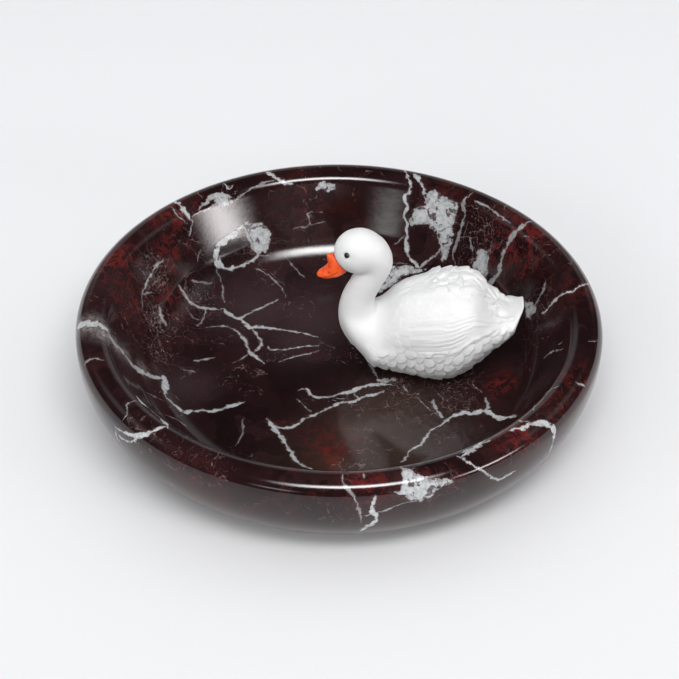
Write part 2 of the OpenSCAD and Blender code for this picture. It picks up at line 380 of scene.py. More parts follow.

# %% [markdown]
# The white veins are what makes this block of marble itself. Noise alone would never put them
# where they are, so each one is laid out on the turned surface as a short list of
# places: a clock angle and a length along the outline. For every vertex the script works out
# how far it lies from the nearest vein, with a sign for the side. The material turns that
# distance into a thin, ragged line, so the line stays sharp although the mesh is coarse.

# %% Veins, each with its width in mm, its strength and its places
veins = [
    # across the left of the lip and down the wall
    (2.6, 0.85, [(184.5, 74), (185.5, 71), (186, 68), (187, 65.5)]),
    (1.4, 0.8, [(187, 65.5), (188.5, 63.5), (188, 58), (188, 53.5), (185, 46.5), (184, 44)]),
    (1.5, 0.8, [(182.5, 43.5), (186, 43), (192.5, 43.5)]),
    (0.8, 0.85, [(192.5, 43.5), (198, 41), (201, 40), (200, 38.5), (201, 35), (203, 32.5), (202, 25)]),
    (1.0, 0.95, [(213.5, 66), (217, 66.5), (218.5, 65.5), (220.5, 66), (224, 66.5), (228, 68.5)]),
    (0.7, 0.9, [(227.5, 68.5), (226.5, 71.5), (225, 73.5), (223.5, 74.5), (220, 76.5), (216, 77.5)]),
    (0.5, 0.85, [(216, 77.5), (217, 79.5), (220.5, 78.5), (222.5, 77), (224, 74.5)]),
    (0.6, 0.9, [(216, 78.5), (215.5, 81.5), (217, 84)]),
    (0.25, 0.55, [(216, 68), (216, 70.5), (218, 72), (218, 74)]),
    (0.3, 0.5, [(198, 75), (197.5, 73), (198.5, 70.5), (199.5, 69)]),
    (0.2, 0.45, [(204, 52), (204, 43.5), (209, 41.5)]),
    (0.2, 0.45, [(196, 52), (195, 46.5), (196, 43)]),
    # net on the left of the floor
    (0.5, 0.7, [(146, 51.5), (146, 48.5), (146, 46), (144.5, 43.5), (143, 42.5), (141, 41), (138, 39.5)]),
    (0.85, 0.8, [(138, 39.5), (138.5, 37), (138, 34.5), (134, 34)]),
    (0.5, 0.75, [(134, 34), (130, 34), (123, 34), (117, 34.5)]),
    (0.3, 0.55, [(143, 42.5), (147, 41), (152, 40.5)]),
    (0.2, 0.5, [(148.5, 46), (150, 43), (149, 41)]),
    (0.3, 0.5, [(131, 50), (132, 45.5), (135, 42), (136.5, 39.5)]),
    (0.8, 0.85, [(137.5, 34), (138, 32), (139.5, 30), (136, 28.5), (132, 26), (126.5, 23)]),
    (0.5, 0.8, [(126.5, 23), (118, 19.5), (108.5, 16.5)]),
    (0.6, 0.8, [(139, 29), (142.5, 25.5), (145, 23.5), (150, 23), (155.5, 23.5)]),
    (0.4, 0.6, [(146, 21.5), (148, 20)]),
    (0.4, 0.7, [(150, 38.5), (147, 36.5), (145, 35), (145, 32.5)]),
    (0.6, 0.8, [(145, 32.5), (147, 29), (151.5, 26), (156, 24.5), (159, 22), (164, 19.5)]),
    (0.4, 0.8, [(148, 20), (140, 17), (127, 15), (112.5, 13.5)]),
    (0.3, 0.6, [(158, 16), (144, 13.5), (130.5, 12), (114, 11.5)]),
    (0.4, 0.7, [(170.5, 36.5), (169, 34.5), (166.5, 32)]),
    (0.3, 0.6, [(176, 38.5), (177, 35.5)]),
    (0.3, 0.6, [(168, 27), (165, 25.5), (158.5, 24.5)]),
    (1.2, 0.8, [(298, 70), (301, 69), (303.5, 68), (305.5, 67.5)]),
    (0.9, 0.7, [(130, 66), (127.5, 66.5), (124.5, 67.5), (122, 67), (120, 65.5)]),
    # outside, on the side that faces away
    (1.0, 0.8, [(103, 75), (100, 80), (101, 86), (97, 93), (98, 101)]),
    (0.5, 0.7, [(101, 86), (106, 90), (108, 97)]),
    (0.8, 0.8, [(75, 74), (77, 80), (73, 87), (74, 95), (70, 103)]),
    (0.4, 0.6, [(73, 87), (66, 90), (61, 89), (55, 93)]),
    (1.2, 0.8, [(48, 78), (45, 84), (46, 90), (41, 97)]),
    (0.5, 0.7, [(133, 76), (137, 82), (135, 89), (140, 96), (139, 103)]),
    (0.4, 0.6, [(135, 89), (129, 93), (124, 92)]),
    (0.9, 0.8, [(158, 78), (161, 84), (166, 86), (168, 93)]),
    (0.4, 0.6, [(12, 80), (15, 86), (13, 93), (18, 100)]),
    # egg-shaped ring on the far left wall
    (1.4, 0.9, [(119, 57.5), (123, 56), (127, 55), (129, 53.5), (130, 51), (128.5, 49)]),
    (0.9, 0.85, [(128.5, 49), (126, 48), (121, 48), (118, 48.5), (116, 49)]),
    (0.6, 0.8, [(116, 49), (116.5, 51), (117.5, 53.5), (118, 55.5), (119, 57.5)]),
    (0.3, 0.5, [(116, 49), (111.5, 48)]),
    (0.3, 0.5, [(107.5, 47), (106, 44.5), (103, 40.5)]),
    (0.3, 0.5, [(118.5, 46), (115, 43), (113, 39), (113, 34.5)]),
    (0.35, 0.5, [(141, 50.5), (138, 48.5), (135, 47)]),
    (0.35, 0.5, [(134, 56), (136, 54)]),
    (0.55, 0.7, [(147, 59.5), (151, 59.5), (156, 58.5), (161, 57.5)]),
    (0.4, 0.6, [(161, 57.5), (157, 55.5)]),
    (0.3, 0.5, [(161, 57.5), (164.5, 55)]),
    (0.8, 0.6, [(157.5, 51), (159, 49.5), (160, 47)]),
    # far left of the lip
    (1.3, 0.9, [(133.5, 73), (134, 67.5), (133.5, 64.5)]),
    (0.6, 0.75, [(133.5, 64.5), (133, 64), (135.5, 61)]),
    (0.35, 0.6, [(136, 70), (136.5, 67), (135, 64)]),
    (0.5, 0.8, [(132.5, 65), (130, 65), (127, 65), (124, 65.5), (122, 66)]),
    (0.4, 0.6, [(127, 74), (127.5, 68)]),
    (0.4, 0.5, [(120, 64.5), (115, 66), (110.5, 67), (106.5, 67.5)]),
    (0.9, 0.85, [(109, 71), (107, 68.5), (106, 67), (104, 66), (103, 65.5)]),
    (0.45, 0.8, [(119.5, 73.5), (120, 68), (118.5, 68.5)]),
    (0.25, 0.45, [(104.5, 54), (99, 54.5), (99, 57.5), (95, 57.5)]),
    (0.25, 0.45, [(99, 54.5), (94, 55)]),
    # far right wall, behind the swan
    (0.7, 0.8, [(75, 73), (72, 68), (71, 65.5), (72, 63), (71, 60.5), (71.5, 58)]),
    (0.7, 0.8, [(71.5, 58), (70, 56.5), (70, 54), (69, 51), (68, 48.5), (65.5, 47), (63, 46)]),
    (0.6, 0.65, [(63, 46), (61.5, 48), (59, 51), (58, 53)]),
    (0.5, 0.7, [(70, 54), (71, 52.5), (72.5, 50.5)]),
    (0.3, 0.5, [(72, 45.5), (66.5, 46.5)]),
    (0.6, 0.5, [(55, 69.5), (55.5, 65), (54, 63.5), (54, 60.5), (54, 56), (54, 52.5), (52, 50.5)]),
    (0.35, 0.6, [(51, 59.5), (49, 56.5), (47, 54)]),
    (0.35, 0.65, [(53, 67.5), (49, 67.5), (43.5, 67), (40, 67)]),
    (1.0, 0.6, [(37, 71), (37, 67), (38, 64), (38, 61.5), (38, 59), (37, 55.5), (37, 53), (38, 50.5), (40.5, 50.5)]),
    (0.3, 0.5, [(35.5, 65.5), (33, 67)]),
    (0.6, 0.9, [(12, 74.5), (9, 69.5), (8, 67.5), (10, 65), (11.5, 61), (12, 57.5), (13, 56.5)]),
    (0.6, 0.55, [(19, 62), (18, 60.5), (17.5, 57), (18, 53), (18, 51.5)]),
    (0.3, 0.7, [(357, 53.5), (355, 57.5), (-9.5, 62.5)]),
    (0.3, 0.6, [(355, 60), (-6.5, 62)]),
    (0.3, 0.6, [(349, 71), (350, 72), (351.5, 74)]),
    (0.45, 0.9, [(336, 74), (334.5, 72)]),
    (0.35, 0.55, [(332, 69), (329, 66.5), (327, 64.5), (321, 68)]),
    # right of the floor
    (0.5, 0.85, [(296, 34), (298, 33.5), (302, 32), (305, 31.5), (308.5, 31.5), (313, 30.5), (318, 29.5),
                 (323, 30), (329, 30.5), (332.5, 31)]),
    (1.1, 0.9, [(332.5, 31), (337, 33), (338, 35), (341, 37), (339, 40), (337, 42.5), (337, 45.5), (336, 47.5)]),
    (0.5, 0.75, [(341, 37), (343, 38), (348.5, 36.5)]),
    (0.8, 0.7, [(340, 24.5), (333.5, 26.5), (330, 29)]),
    (0.3, 0.5, [(339.5, 20.5), (333, 24), (330, 27.5)]),
    (0.3, 0.5, [(356, 33), (352, 35.5)]),
    (0.5, 0.5, [(350.5, 16), (343, 17.5)]),
    (1.6, 0.7, [(355, 9.5), (355, 12), (358.5, 14)]),
    (0.7, 0.65, [(39, 9.5), (20, 9), (2, 9.5)]),
    # middle and front of the floor
    (0.7, 0.85, [(226.5, 23.5), (231, 23.5), (236.5, 22.5), (240.5, 20.5), (243, 17), (251, 14), (262, 11)]),
    (0.7, 0.85, [(262, 11), (272, 9.5), (289.5, 9.5), (308, 9.5), (322, 10.5), (335.5, 12)]),
    (0.5, 0.85, [(207, 11), (208.5, 9), (225.5, 9.5), (237, 9), (254, 7.5), (273, 6)]),
    (0.9, 0.9, [(273, 6), (297, 6), (323.5, 6.5), (340.5, 8), (347, 10.5), (348.5, 13.5)]),
    (0.5, 0.7, [(303, 7), (302, 9.5)]),
    (0.3, 0.6, [(219, 13), (242, 14.5)]),
    (0.8, 0.85, [(222, 23), (230, 24.5), (236.5, 25.5), (244, 28), (248.5, 30), (252.5, 32.5), (259, 34)]),
    (0.3, 0.45, [(213, 27.5), (222, 31), (226, 35.5)]),
    # front of the lip and belly
    (0.3, 0.7, [(287, 78), (283, 78), (280, 79.5), (275.5, 81)]),
    (1.0, 0.9, [(277.5, 75), (277, 77.5), (277, 79.5), (278, 82), (277.5, 84.5), (276, 86.5), (275, 89)]),
    (0.4, 0.55, [(270.5, 68), (271.5, 72.5), (273, 74.5), (274, 77.5), (274.5, 80.5), (275, 84)]),
    (0.4, 0.6, [(275.5, 69), (275.5, 70.5)]),
    (0.8, 0.85, [(298.5, 68.5), (302, 68.5), (306, 68.5)]),
    (0.5, 0.8, [(297, 69.5), (298, 71.5), (300, 74), (302, 76.5), (304.5, 79.5), (307, 80), (309.5, 80)]),
    (0.4, 0.7, [(316.5, 66.5), (316, 68.5), (317, 70)]),
    (1.0, 0.9, [(312, 69), (315, 70.5), (316, 70.5), (318.5, 71.5), (320, 73.5), (321, 75.5), (321, 79)]),
    (0.6, 0.85, [(321, 79), (321, 84.5), (320, 88.5), (318.5, 89)]),
]
# pale patches, each an outline of such places
patches = [
    [(284, 68), (286, 70), (287, 72), (289, 73), (294, 74.5), (290.5, 76), (289, 77.5), (287, 78),
     (283.5, 76), (281, 74.5), (283, 74), (283.5, 72)],
    [(72, 71), (69, 69), (66.5, 65.5), (64, 66.5), (60.5, 65.5), (57, 64.5), (56.5, 62.5), (56.5, 59),
     (56, 56), (56, 52), (56.5, 50), (58, 53), (60, 55.5), (62.5, 57), (65, 57.5), (68, 56.5),
     (70, 57), (69, 59), (67.5, 61.5), (66, 62.5), (67, 66)],
    [(46, 56), (44, 57.5), (42, 55), (41, 51.5), (45.5, 51.5)],
    [(117.5, 58), (113, 56.5), (111, 54), (113, 50.5), (116, 49), (117.5, 52)],
    [(72, 44.5), (66, 45.5), (60, 46), (63, 45), (67, 42.5), (71, 38.5), (74, 35.5)],
    [(124, 67), (122, 66.5), (120.5, 65), (122, 64), (124.5, 65)],
    [(22, 53.5), (19, 55.5), (16.5, 54.5), (17.5, 52)],
    [(96, 65), (94, 65), (91, 64), (93, 63.5), (96, 63.5)],
]
# soft clouds of colour: clock angle, length along the outline, radius in mm, strength
red_clouds = [(161, 70, 7, 0.9), (168, 60.5, 8, 0.7), (137, 69, 7, 1.0), (144, 59.5, 6, 0.8), (35, 64, 9, 1.0),
              (30, 76, 8, 0.7), (356, 40, 4, 1.0), (267, 25, 6, 0.8), (336, 75, 6, 0.8), (312, 72, 6, 0.9),
              (152, 51.5, 6, 0.6), (276, 72, 5, 0.9), (325, 70, 6, 0.5), (10, 78, 9, 0.6), (60, 78, 8, 0.5),
              (100, 82, 9, 0.6), (200, 86, 10, 0.4), (240, 82, 8, 0.4), (340, 90, 9, 0.5)]
grey_clouds = [(127, 34, 11, 0.9), (105, 25, 12, 1.0), (120, 18, 9, 0.8), (300, 22, 12, 0.5), (280, 30, 10, 0.5),
               (185, 37, 7, 0.7), (167.5, 62, 7, 0.5)]
brown_clouds = [(285, 24, 12, 1.0), (315, 20, 12, 1.0), (265, 30, 10, 0.8), (300, 32, 9, 0.9), (340, 14, 8, 0.6)]
fleck_clouds = [(152.5, 58, 8, 1.0), (162.5, 50, 8, 1.0), (172, 46, 7, 0.8), (143, 46.5, 7, 0.8), (133.5, 59, 6, 0.5),
                (350, 28, 8, 0.8), (340, 20, 8, 0.6), (47, 61, 8, 0.8), (355, 15, 6, 0.8), (116, 52, 6, 0.8),
                (16.5, 55.5, 8, 0.6), (292, 81, 6, 0.5)]
veil_clouds = [(184.5, 73, 2.4, 0.8), (186, 70, 3.0, 1.0), (188.5, 66.5, 3.2, 1.0), (189, 62, 3.0, 0.9),
               (187.5, 57, 2.6, 0.7), (185, 50, 2.4, 0.5)]
say(len(veins), "veins,", len(patches), "patches")

# %% [markdown]
# Each list is first rounded into a smooth run. Veins that lie close together would spoil each
# other's sign, so they are dealt out over a few layers, each with its own attribute: distance,
# half width and strength in one vector.

# %% Work out the vein distances
REACH = 1.6             # beyond this distance a vein is forgotten, mm
BOLDER = 1.22           # the ragged edge eats into a line, so it is laid out wider


def smooth_run(places, per_span=5):
    pts = [np.array(on_dish(*p)) for p in places]
    pts = [2 * pts[0] - pts[1]] + pts + [2 * pts[-1] - pts[-2]]
    run = []
    for i in range(1, len(pts) - 2):
        a, b, c, d = pts[i - 1:i + 3]
        for k in range(per_span):
            t = k / per_span
            run.append(0.5 * (2 * b + (c - a) * t + (2 * a - 5 * b + 4 * c - d) * t ** 2
                              + (3 * b - a - 3 * c + d) * t ** 3))
    run.append(pts[-2])
    return np.array(run)


def run_distance(points, facing, run):
    """For each point: signed distance to the run, share of the run's length, and how far past its ends."""
    a, b = run[:-1], run[1:]
    step = b - a
    size2 = (step ** 2).sum(1)
    to = points[:, None, :] - a[None]
    raw = (to * step).sum(2) / size2
    t = raw.clip(0, 1)
    gap = to - t[:, :, None] * step
    dist = np.sqrt((gap ** 2).sum(2))
    best = dist.argmin(1)
    rows = np.arange(len(points))
    side = np.sign(np.einsum("ij,ij->i", np.cross(step[best], to[rows, best]), facing))
    size = np.sqrt(size2)
    start = np.concatenate([[0], np.cumsum(size)])
    along = start[best] + t[rows, best] * size[best]
    past = np.maximum(-raw[rows, best], raw[rows, best] - 1).clip(0) * size[best]
    past = np.where((best == 0) | (best == len(a) - 1), past, 0)
    return dist[rows, best] * np.where(side == 0, 1, side), along, start[-1], past


layers = []
for width, strength, places in sorted(veins, key=lambda v: -v[0]):
    run = smooth_run(places)
    for layer in layers:
        other = np.concatenate(layer["runs"])
        if np.sqrt(((run[:, None] - other[None]) ** 2).sum(2)).min() > 1.7 * REACH:
            break
    else:
        layer = {"runs": [], "field": np.tile([9.0, 0.0, 0.0], (len(dish_points), 1))}
        layers.append(layer)
    layer["runs"].append(run)
    low, high = run.min(0) - 2 * REACH, run.max(0) + 2 * REACH
    near = np.flatnonzero(((dish_points > low) & (dish_points < high)).all(1))
    dist, along, total, past = run_distance(dish_points[near], dish_normals[near], run)
    taper = np.minimum(1, 0.45 + np.minimum(along, total - along) / 4.0)
    fade = (1 - (np.abs(dist) - 1.1) / (REACH - 1.1)).clip(0, 1) * (1 - past / 0.6).clip(0, 1)
    field = layer["field"]
    closer = np.abs(dist) < np.abs(field[near, 0])
    pick = near[closer]
    field[pick, 0] = dist[closer]
    field[pick, 1] = (BOLDER * width / 2 * taper * fade)[closer]
    field[pick, 2] = strength
say("veins dealt over", len(layers), "layers")

for number, layer in enumerate(layers):
    attribute = dish.data.attributes.new("vein_%d" % number, "FLOAT_VECTOR", "POINT")
    attribute.data.foreach_set("vector", layer["field"].ravel())

# %% Patches and clouds as plain numbers on the vertices


def patch_depth(points, facing, places):
    """How deep a point lies inside a patch, in mm, negative outside."""
    ring = smooth_run(list(places) + [places[0]], 3)
    dist = run_distance(points, facing, ring)[0]
    middle = ring.mean(0)
    normal = facing[((points - middle) ** 2).sum(1).argmin()]
    across = np.cross(normal, (0, 0, 1.0) if abs(normal[2]) < 0.9 else (1.0, 0, 0))
    across /= np.linalg.norm(across)
    up = np.cross(normal, across)
    x, y = (points - middle) @ across, (points - middle) @ up
    rx, ry = (ring - middle) @ across, (ring - middle) @ up
    inside = np.zeros(len(points), bool)
    for i in range(len(ring) - 1):
        crosses = (ry[i] > y) != (ry[i + 1] > y)
        at = rx[i] + (y - ry[i]) / (ry[i + 1] - ry[i] + 1e-12) * (rx[i + 1] - rx[i])
        inside ^= crosses & (x < at)
    return np.where(inside, np.abs(dist), -np.abs(dist))


depth = np.full(len(dish_points), -3.0)
for places in patches:
    corner = np.array([on_dish(*p) for p in places])
    near = np.flatnonzero(((dish_points > corner.min(0) - 3) & (dish_points < corner.max(0) + 3)).all(1))
    depth[near] = np.maximum(depth[near], patch_depth(dish_points[near], dish_normals[near], places))


def cloud_sum(clouds):
    total = np.zeros(len(dish_points))
    for clock, path, radius, strength in clouds:
        gap2 = ((dish_points - np.array(on_dish(clock, path))) ** 2).sum(1)
        total = np.maximum(total, strength * np.exp(-gap2 / radius ** 2))
    return total


for name, values in (("patch", depth), ("red", cloud_sum(red_clouds)), ("grey", cloud_sum(grey_clouds)),
                     ("brown", cloud_sum(brown_clouds)), ("fleck", cloud_sum(fleck_clouds)),
                     ("veil", cloud_sum(veil_clouds))):
    attribute = dish.data.attributes.new(name, "FLOAT", "POINT")
    attribute.data.foreach_set("value", values)
say("patch depth reaches", round(float(depth.max()), 1), "mm")

# %% [markdown]
# Materials are node trees. A small builder keeps them readable: it adds a node, sets its
# values and joins its inputs in one line.

# %% Node helpers


class Nodes:
    """Adds and joins nodes in one tree."""

    def __init__(self, tree):
        self.tree = tree

    def add(self, kind, inputs=None, **settings):
        node = self.tree.nodes.new("ShaderNode" + kind)
        for key, value in settings.items():
            setattr(node, key, value)
        for key, value in (inputs or {}).items():
            socket = node.inputs[key]
            if isinstance(value, bpy.types.NodeSocket):
                self.tree.links.new(value, socket)
            else:
                socket.default_value = value
        return node

    def math(self, what, a, b=0.0, c=None, clamp=False):
        node = self.add("Math", {0: a, 1: b}, operation=what, use_clamp=clamp)
        if c is not None:
            if isinstance(c, bpy.types.NodeSocket):
                self.tree.links.new(c, node.inputs[2])
            else:
                node.inputs[2].default_value = c
        return node.outputs[0]

    def mix(self, factor, a, b, kind="MIX"):
        node = self.add("Mix", {"Factor": factor}, data_type="RGBA", blend_type=kind)
        for name, value in (("A", a), ("B", b)):
            socket = [s for s in node.inputs if s.name == name and s.type == "RGBA"][0]
            if isinstance(value, bpy.types.NodeSocket):
                self.tree.links.new(value, socket)
            else:
                socket.default_value = value
        return [s for s in node.outputs if s.type == "RGBA"][0]

    def noise(self, where, scale, detail=3.0, rough=0.55, distort=0.0):
        return self.add("TexNoise", {"Vector": where, "Scale": scale, "Detail": detail,
                                     "Roughness": rough, "Distortion": distort})

    def step(self, value, low, high, to_low=0.0, to_high=1.0):
        return self.add("MapRange", {"Value": value, "From Min": low, "From Max": high, "To Min": to_low,
                                     "To Max": to_high}, interpolation_type="SMOOTHSTEP").outputs[0]


def new_material(name):
    material = bpy.data.materials.new(name)
    material.use_nodes = True
    nodes = Nodes(material.node_tree)
    shader = material.node_tree.nodes["Principled BSDF"]
    place = nodes.add("TexCoord").outputs["Object"]
    in_mm = nodes.add("VectorMath", {0: place, 1: (1000.0, 1000.0, 1000.0)}, operation="MULTIPLY").outputs[0]
    return material, nodes, shader, in_mm


# %% [markdown]
# One vein line: the stored distance is pushed about by fine noise, so the line wanders and
# frays, and compared with the stored half width. Every layer uses the same group.

# %% Node group for one layer of veins


def group_socket(group, name, direction, kind="NodeSocketFloat"):
    return group.interface.new_socket(name=name, in_out=direction, socket_type=kind)


vein_line = bpy.data.node_groups.new("vein_line", "ShaderNodeTree")
group_socket(vein_line, "Field", "INPUT", "NodeSocketVector")
group_socket(vein_line, "Wander", "INPUT")
group_socket(vein_line, "Fray", "INPUT")
group_socket(vein_line, "Grain", "INPUT")
group_socket(vein_line, "Line", "OUTPUT")
group_socket(vein_line, "Core", "OUTPUT")
group_socket(vein_line, "Halo", "OUTPUT")
g = Nodes(vein_line)
entry = vein_line.nodes.new("NodeGroupInput")
leave = vein_line.nodes.new("NodeGroupOutput")
parts = g.add("SeparateXYZ", {0: entry.outputs["Field"]})
pushed = g.math("ABSOLUTE", g.math("ADD", parts.outputs[0], entry.outputs["Wander"]))
half = g.math("MULTIPLY", parts.outputs[1], g.step(entry.outputs["Fray"], 0.34, 0.68, 0.30, 1.6))
excess = g.math("ADD", g.math("SUBTRACT", pushed, half), entry.outputs["Grain"])
there = g.math("MULTIPLY", g.step(half, 0.02, 0.10), parts.outputs[2])
line = g.math("MULTIPLY", g.step(excess, 0.07, -0.05), there)
core = g.math("MULTIPLY", g.step(excess, 0.00, -0.40), there)
halo = g.math("MULTIPLY", g.step(excess, 0.75, -0.05), there)
vein_line.links.new(line, leave.inputs["Line"])
vein_line.links.new(core, leave.inputs["Core"])
vein_line.links.new(halo, leave.inputs["Halo"])

# %% [markdown]
# The stone: a plum-black ground broken into soft fragments, with wine-red clouds, greyer
# areas, fine pale flecks and threads, then the hand-laid veins and patches on top. The polish
# is a low roughness on the shader, a little duller where the white mineral is softer.

# %% Marble
marble, n, shader, mm = new_material("dark_red_marble")
warp = n.noise(mm, 0.18, 3.0)
warped = n.add("VectorMath", {0: mm, 1: n.add("VectorMath", {0: warp.outputs["Color"], 1: (7.0, 7.0, 7.0)},
                                              operation="MULTIPLY").outputs[0]}, operation="ADD").outputs[0]
broad = n.noise(mm, 0.045, 4.0, 0.6).outputs["Fac"]
middle = n.noise(warped, 0.22, 5.0, 0.65).outputs["Fac"]
fine = n.noise(mm, 1.6, 5.0, 0.7).outputs["Fac"]


def stored(name):
    return n.add("Attribute", attribute_name=name, attribute_type="GEOMETRY").outputs["Fac"]


# a smooth plum ground with faint fragments and darker seams
ground = n.mix(n.step(broad, 0.35, 0.68), (0.0105, 0.0036, 0.0040, 1), (0.0220, 0.0076, 0.0084, 1))
fragment = n.add("TexVoronoi", {"Vector": warped, "Scale": 0.15, "Randomness": 1.0}, feature="F1")
fragment_tone = n.add("SeparateColor", {0: fragment.outputs["Color"]}).outputs[0]
ground = n.mix(n.math("MULTIPLY", n.step(fragment_tone, 0.45, 0.95), 0.45), ground, (0.038, 0.0145, 0.0152, 1))
ground = n.mix(n.step(middle, 0.48, 0.70, 0.0, 0.80), ground, (0.0085, 0.0028, 0.0034, 1))
ground = n.mix(n.math("MULTIPLY", stored("grey"), 0.80), ground, (0.064, 0.0390, 0.0420, 1))
ground = n.mix(n.math("MULTIPLY", stored("brown"), 0.85), ground, (0.044, 0.0265, 0.0190, 1))

# wine-red clouds, torn by noise
torn = n.step(n.noise(warped, 0.42, 6.0, 0.7).outputs["Fac"], 0.44, 0.60)
ground = n.mix(n.math("MULTIPLY", n.math("MULTIPLY", stored("red"), torn), 0.95), ground, (0.135, 0.0160, 0.0140, 1))
random_red = n.math("MULTIPLY", n.step(n.noise(warped, 0.12, 6.0, 0.68).outputs["Fac"], 0.57, 0.70), 0.60)
ground = n.mix(random_red, ground, (0.060, 0.0090, 0.0090, 1))
speck = n.noise(mm, 2.2, 6.0, 0.78).outputs["Fac"]
ground = n.mix(n.step(speck, 0.56, 0.80, 0.0, 0.40), ground, (0.075, 0.0330, 0.0330, 1))
ground = n.mix(n.step(fine, 0.48, 0.25, 0.0, 0.40), ground, (0.0070, 0.0024, 0.0028, 1))

# hair-fine pale threads in two sizes, and a mist of flecks
thread_mask = n.math("MULTIPLY", n.step(n.noise(mm, 0.10, 2.0).outputs["Fac"], 0.50, 0.64),
                     n.step(n.noise(mm, 0.8, 3.0).outputs["Fac"], 0.45, 0.60))
threads = 0.0
for size, thickness, amount in ((0.13, 0.016, 1.0), (0.34, 0.022, 0.5)):
    cells = n.add("TexVoronoi", {"Vector": warped, "Scale": size}, feature="DISTANCE_TO_EDGE").outputs["Distance"]
    threads = n.math("MAXIMUM", threads, n.step(cells, thickness, 0.003, 0.0, amount))
threads = n.math("MULTIPLY", threads,
                 n.math("MULTIPLY_ADD", thread_mask, 0.65, n.math("MULTIPLY", stored("fleck"), 0.45)))
fleck_here = n.math("MAXIMUM", stored("fleck"), 0.08)
mist = n.math("MULTIPLY_ADD", fleck_here, 0.15, n.noise(warped, 1.2, 8.0, 0.80).outputs["Fac"])
flecks = n.math("MULTIPLY", n.step(mist, 0.66, 0.74), n.step(fleck_here, 0.08, 0.6, 0.20, 0.85))

# the laid veins
wander = n.math("MULTIPLY_ADD", n.noise(mm, 0.80, 4.0, 0.55).outputs["Fac"], 1.5, -0.75)
fray = n.noise(mm, 0.42, 3.0, 0.60).outputs["Fac"]
grain = n.math("MULTIPLY_ADD", n.noise(mm, 3.0, 3.0, 0.6).outputs["Fac"], 0.36, -0.18)
line, core, halo = 0.0, 0.0, 0.0
for number in range(len(layers)):
    field = n.add("Attribute", attribute_name="vein_%d" % number, attribute_type="GEOMETRY").outputs["Vector"]
    node = marble.node_tree.nodes.new("ShaderNodeGroup")
    node.node_tree = vein_line
    for name, socket in (("Field", field), ("Wander", wander), ("Fray", fray), ("Grain", grain)):
        marble.node_tree.links.new(socket, node.inputs[name])
    line = n.math("MAXIMUM", line, node.outputs["Line"])
    core = n.math("MAXIMUM", core, node.outputs["Core"])
    halo = n.math("MAXIMUM", halo, node.outputs["Halo"])

# the laid patches, with ragged edges and holes
ragged = n.math("ADD", stored("patch"), n.math("MULTIPLY_ADD", n.noise(mm, 0.5, 5.0, 0.60).outputs["Fac"], 4.6, -2.1))
hole = n.step(n.noise(warped, 0.45, 5.0, 0.62).outputs["Fac"], 0.55, 0.61)
patch_white = n.math("MULTIPLY", n.step(ragged, -0.06, 0.12), n.math("SUBTRACT", 1.0, n.math("MULTIPLY", hole, 0.80)))
patch_core = n.math("MULTIPLY", n.step(ragged, 0.1, 1.2, 0.0, 0.75), patch_white)
white_amount = n.math("MAXIMUM", line, n.math("MULTIPLY", patch_white, 0.90))
core = n.math("MAXIMUM", core, patch_core)
halo = n.math("MAXIMUM", halo, n.math("MULTIPLY", n.step(ragged, -1.6, 0.2), 0.8))

mist_near = n.math("MULTIPLY", halo, n.step(n.noise(mm, 1.8, 6.0, 0.75).outputs["Fac"], 0.56, 0.68))
stone = n.mix(threads, ground, (0.26, 0.17, 0.17, 1))
stone = n.mix(flecks, stone, (0.36, 0.28, 0.27, 1))
streaked = n.step(n.noise(warped, 0.9, 5.0, 0.6).outputs["Fac"], 0.36, 0.66)
stone = n.mix(n.math("MULTIPLY", stored("veil"), n.math("MULTIPLY_ADD", streaked, 0.55, 0.25)), stone, (0.46, 0.40, 0.40, 1))
stone = n.mix(n.math("MULTIPLY", halo, 0.18), stone, (0.110, 0.0500, 0.0500, 1))
stone = n.mix(n.math("MULTIPLY", mist_near, 0.50), stone, (0.34, 0.29, 0.29, 1))
shade = n.noise(mm, 0.9, 7.0, 0.7).outputs["Fac"]
vein_grey = n.mix(n.step(shade, 0.38, 0.62), (0.24, 0.23, 0.24, 1), (0.44, 0.45, 0.46, 1))
vein_white = n.mix(n.step(shade, 0.36, 0.60), (0.42, 0.45, 0.46, 1), (0.64, 0.655, 0.655, 1))
stone = n.mix(white_amount, stone, n.mix(core, vein_grey, vein_white))
marble.node_tree.links.new(stone, shader.inputs["Base Color"])
polish = n.math("ADD", n.math("MULTIPLY_ADD", fine, 0.05, 0.085), n.math("MULTIPLY", white_amount, 0.08))
marble.node_tree.links.new(polish, shader.inputs["Roughness"])
shader.inputs["IOR"].default_value = 1.50
ripple = n.add("Bump", {"Height": n.noise(mm, 0.35, 2.0).outputs["Fac"], "Strength": 0.04,
                        "Distance": 0.0004})
marble.node_tree.links.new(ripple.outputs["Normal"], shader.inputs["Normal"])
dish.data.materials.append(marble)
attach(dish, "dish")
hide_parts("dish")

# %% [markdown]
# The swan is a small casting with sharp feathers and a soft, matt skin. Its solid gives the
# true masses of body, wings, neck and head. A copy of it is remeshed into an even skin of
# small quads, smoothed so no facet shows, and then the feathers are raised on it like a
# sculptor's layer: each feather lifts towards its tip and covers the foot of the next.

# %% Even skin over a copy of a solid


def choose(obj, chosen):
    """Open the piece in edit mode with only these points selected."""
    edit(obj)
    bpy.ops.mesh.select_all(action="DESELECT")
    close_edit()
    obj.data.vertices.foreach_set("select", chosen)
    bpy.ops.object.mode_set(mode="EDIT")


